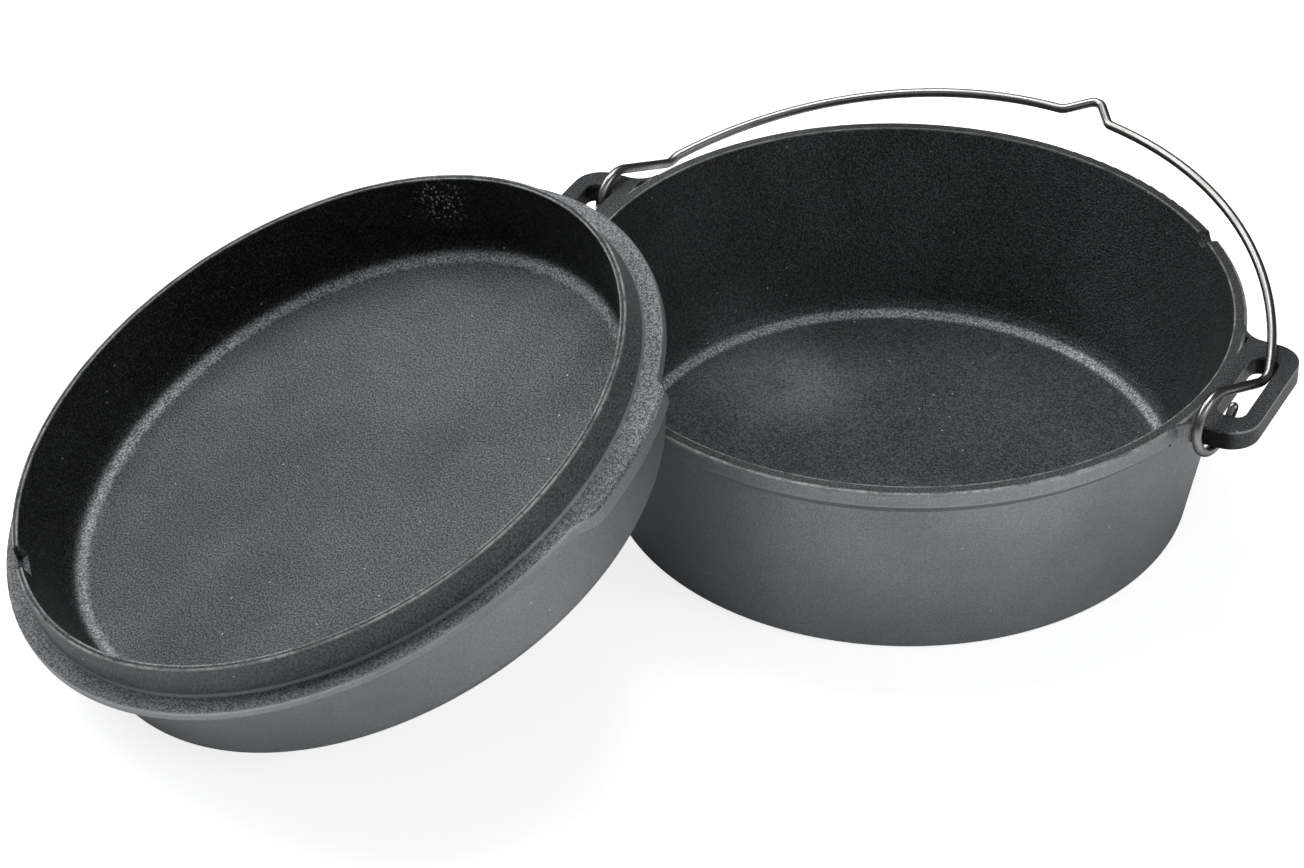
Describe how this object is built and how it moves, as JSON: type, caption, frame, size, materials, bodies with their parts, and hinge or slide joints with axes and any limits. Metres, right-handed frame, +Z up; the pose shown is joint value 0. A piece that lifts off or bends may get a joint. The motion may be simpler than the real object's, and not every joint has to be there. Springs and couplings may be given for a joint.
{
  "type": "camp dutch oven",
  "caption": "Round cast-iron camp oven with loop ears, a folding wire bail and a coal-rimmed lid that lies upside down against the rim.",
  "frame": {"origin": "centre of the pot's flat base, on the ground", "axes": "+Z up out of the pot's mouth, X along the line from ear to ear, +Y towards the side the bail is folded to"},
  "size_m": [0.5144, 0.5293, 0.1735],
  "materials": {
    "pot_iron": "seasoned black, satin, fine sand-cast grain",
    "lid_iron": "seasoned black, satin, fine sand-cast grain",
    "bail_steel": "bright drawn stainless wire"
  },
  "bodies": {
    "pot": {"pot": "pot_iron"},
    "lid": {"lid": "lid_iron"},
    "bail": {"bail": "bail_steel"}
  },
  "joints": [
    {"name": "bail_hinge", "type": "hinge", "parent": "pot", "child": "bail", "pos_m": [0, 0, 0.09535], "axis": [0.9815, -0.1901, 0.0227], "range_deg": [0, 118]},
    {"name": "lid_lift", "type": "slide", "parent": "pot", "child": "lid", "axis": [0, 0, 1], "range_m": [0, 0.3]}
  ]
}
